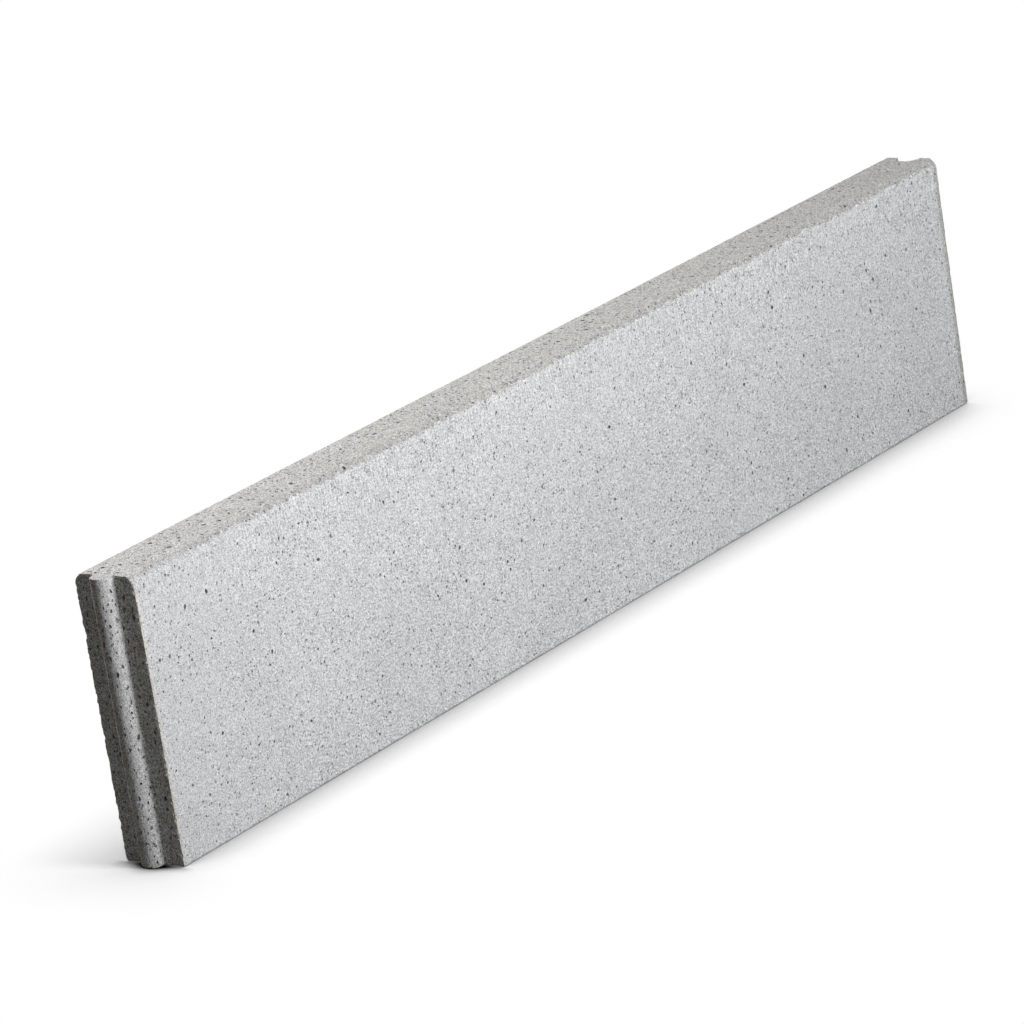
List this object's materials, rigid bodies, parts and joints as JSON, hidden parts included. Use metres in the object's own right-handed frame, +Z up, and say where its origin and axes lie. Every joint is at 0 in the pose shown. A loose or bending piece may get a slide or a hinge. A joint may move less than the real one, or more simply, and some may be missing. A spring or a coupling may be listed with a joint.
{
  "type": "concrete kerb stone",
  "caption": "Straight cast concrete edging kerb with bevelled top arrises, a half-round tongue at one end and a matching groove at the other.",
  "frame": {"origin": "middle of the bed face, halfway between the two joint faces", "axes": "+X along the kerb, from the tongue end to the groove end; +Y across its thickness, away from the path side; +Z up"},
  "size_m": [1.009, 0.05, 0.2],
  "materials": {
    "concrete": "cast grey concrete, matt, with fine sand grain and small pores"
  },
  "bodies": {
    "root": {"kerb_stone": "concrete"}
  },
  "joints": []
}
